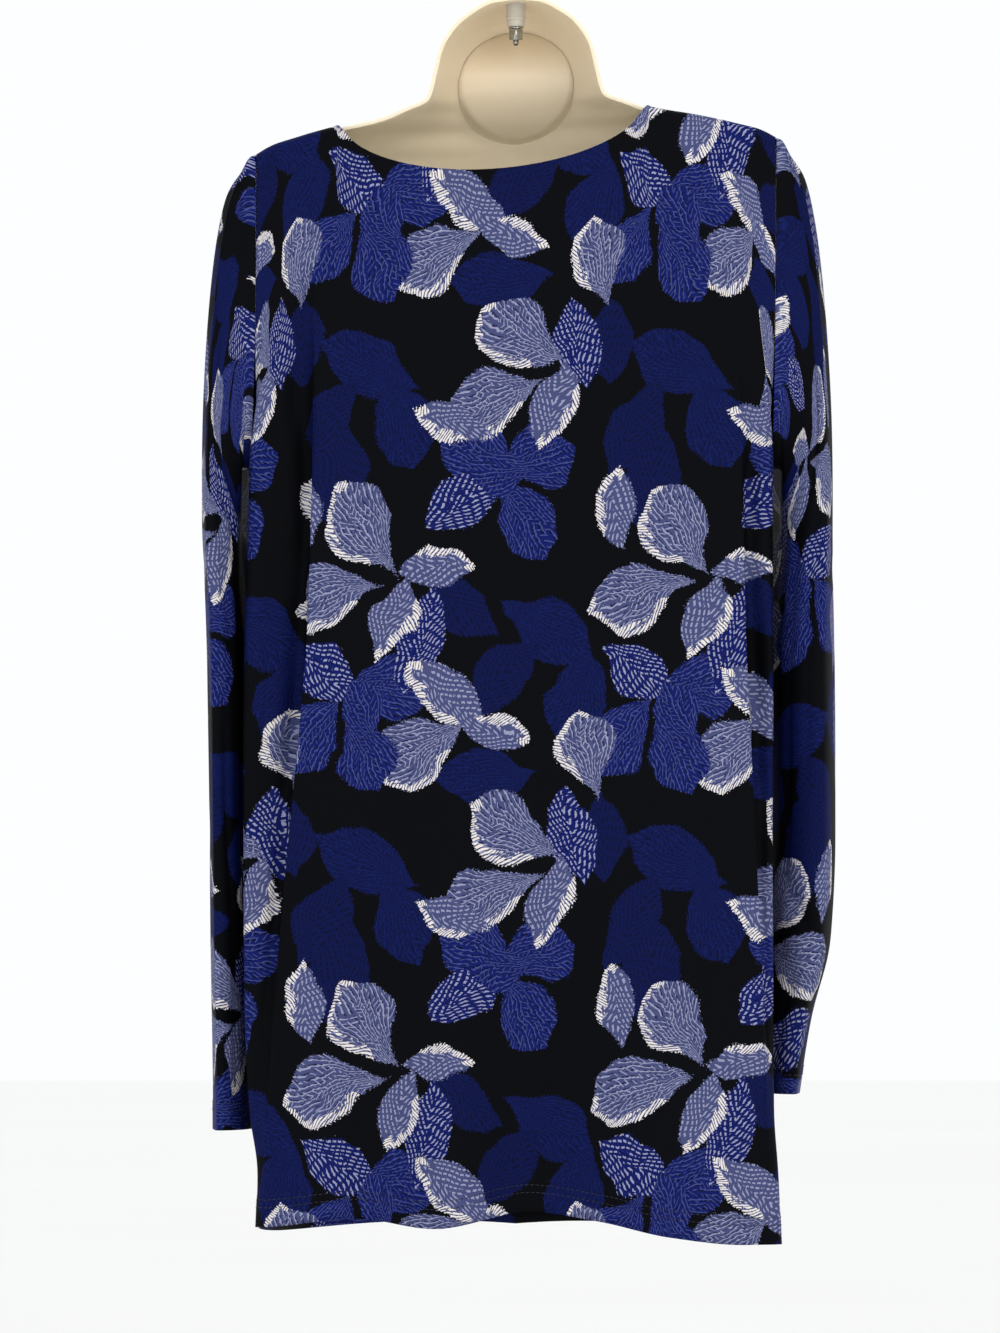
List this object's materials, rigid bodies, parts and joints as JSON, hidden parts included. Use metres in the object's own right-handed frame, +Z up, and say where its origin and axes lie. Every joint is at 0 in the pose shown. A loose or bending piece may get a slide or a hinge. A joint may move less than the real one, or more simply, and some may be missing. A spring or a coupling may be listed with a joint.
{
  "type": "tunic top on a hanging torso form",
  "caption": "Long-sleeved knit tunic with a wide scoop neck, hung on a hollow-backed limbless torso form with a wire hook.",
  "frame": {"origin": "top of the bore of the hook's crook, where a rail carries it, on the line of the shank", "axes": "+Z up, the wearer's front faces -Y, the wearer's left is +X"},
  "size_m": [0.4137, 0.2031, 0.891],
  "materials": {
    "printed_jersey": "smooth knit with a soft sheen, leaf print in blues and cream on black",
    "frosted_plastic": "frosted translucent shell, semi-gloss",
    "plated_steel": "bright plated wire"
  },
  "bodies": {
    "root": {"back_panel": "printed_jersey", "front_panel": "printed_jersey", "sleeve_left": "printed_jersey", "sleeve_right": "printed_jersey", "torso_form": "frosted_plastic", "hook": "plated_steel", "hook_washer": "plated_steel", "hook_nut": "plated_steel"}
  },
  "joints": []
}
